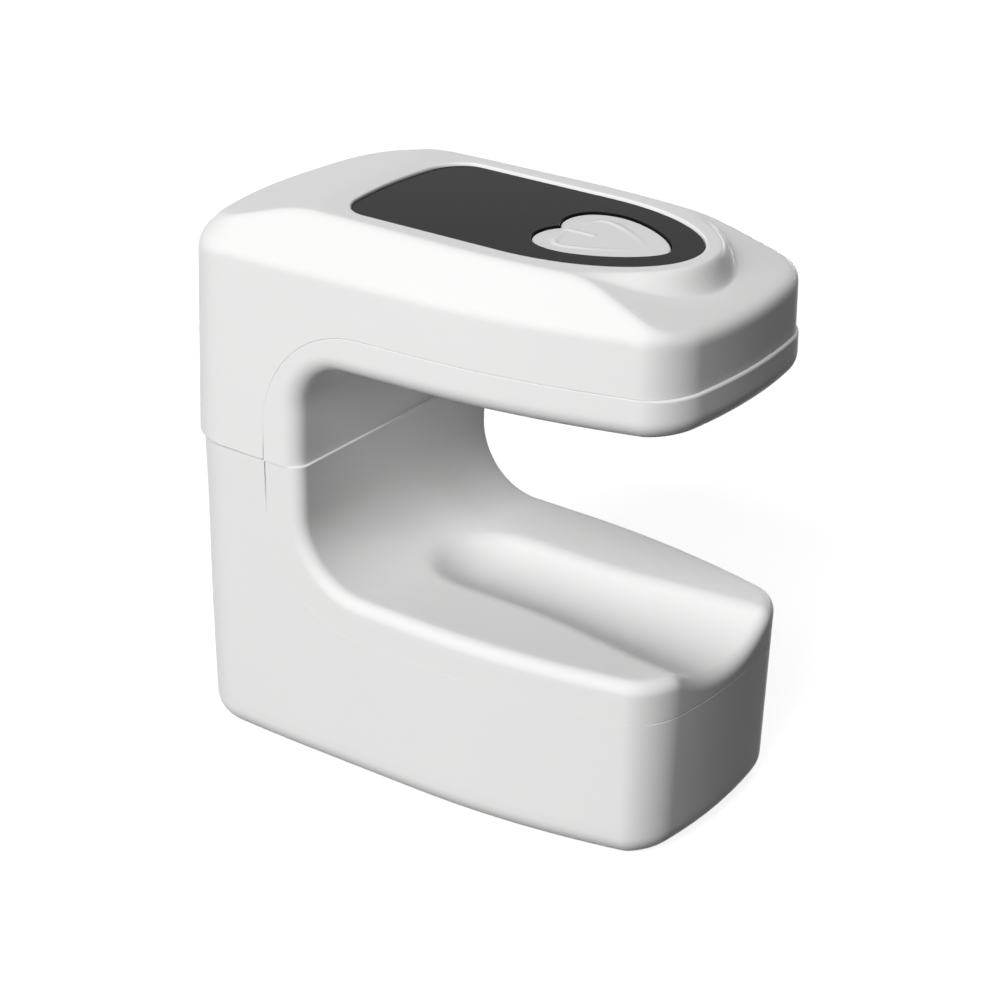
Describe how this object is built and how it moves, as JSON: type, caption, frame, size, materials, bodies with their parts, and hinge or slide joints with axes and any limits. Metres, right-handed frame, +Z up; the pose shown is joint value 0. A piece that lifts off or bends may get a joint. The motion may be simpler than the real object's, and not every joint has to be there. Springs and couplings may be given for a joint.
{
  "type": "nail lamp",
  "caption": "Small C-shaped battery nail lamp: a lit upper arm over a grooved finger bed, with a dark top window and a heart-shaped push key.",
  "frame": {"origin": "bottom centre of the whole lamp, on the surface that its rubber feet stand on", "axes": "+X from the closed back to the open mouth, +Y across the width, +Z up"},
  "size_m": [0.06, 0.034, 0.06],
  "materials": {
    "white_plastic": "smooth moulded gloss",
    "black_window": "polished black",
    "heart_key": "satin moulding",
    "board_green": "solder mask",
    "chip_black": "moulded resin",
    "small_parts": "ceramic bodies",
    "switch_ivory": "moulded",
    "steel": "bright plated",
    "display_grey": "moulded frame",
    "board_white": "white solder mask",
    "led_yellow": "clear resin over phosphor",
    "clear_lens": "clear, faintly frosted",
    "battery_foil": "satin foil",
    "foam": "foam tape",
    "wire": "insulated wire",
    "foot_rubber": "matt"
  },
  "bodies": {
    "case": {"upper_shell": "white_plastic", "upper_liner": "white_plastic", "lower_shell": "white_plastic", "lower_liner": "white_plastic", "display_window": "black_window", "control_board": "board_green", "control_chip": "chip_black", "board_parts": "small_parts", "switch_body": "chip_black", "switch_dome": "steel", "display_module": "display_grey", "led_board": "board_white", "led_beads": "led_yellow", "lamp_lens": "clear_lens", "battery_cell": "battery_foil", "battery_pad": "foam", "battery_leads": "wire", "charge_board": "board_green", "charge_parts": "small_parts", "usb_shell": "steel", "usb_tongue": "chip_black", "power_leads": "wire", "led_leads": "wire", "case_screws": "steel", "board_screws": "steel", "rubber_feet": "foot_rubber"},
    "button": {"power_button": "heart_key"},
    "plunger": {"switch_plunger": "switch_ivory"}
  },
  "joints": [
    {"name": "button_press", "type": "slide", "parent": "case", "child": "button", "axis": [0, 0, -1], "range_m": [0, 0.00035], "stiffness_N_per_m": 3000},
    {"name": "plunger_press", "type": "slide", "parent": "case", "child": "plunger", "axis": [0, 0, -1], "range_m": [0, 0.00035], "deforming": ["switch_dome"]}
  ],
  "couplings": [
    {"joint": "plunger_press", "follows": "button_press", "ratio": 1}
  ]
}
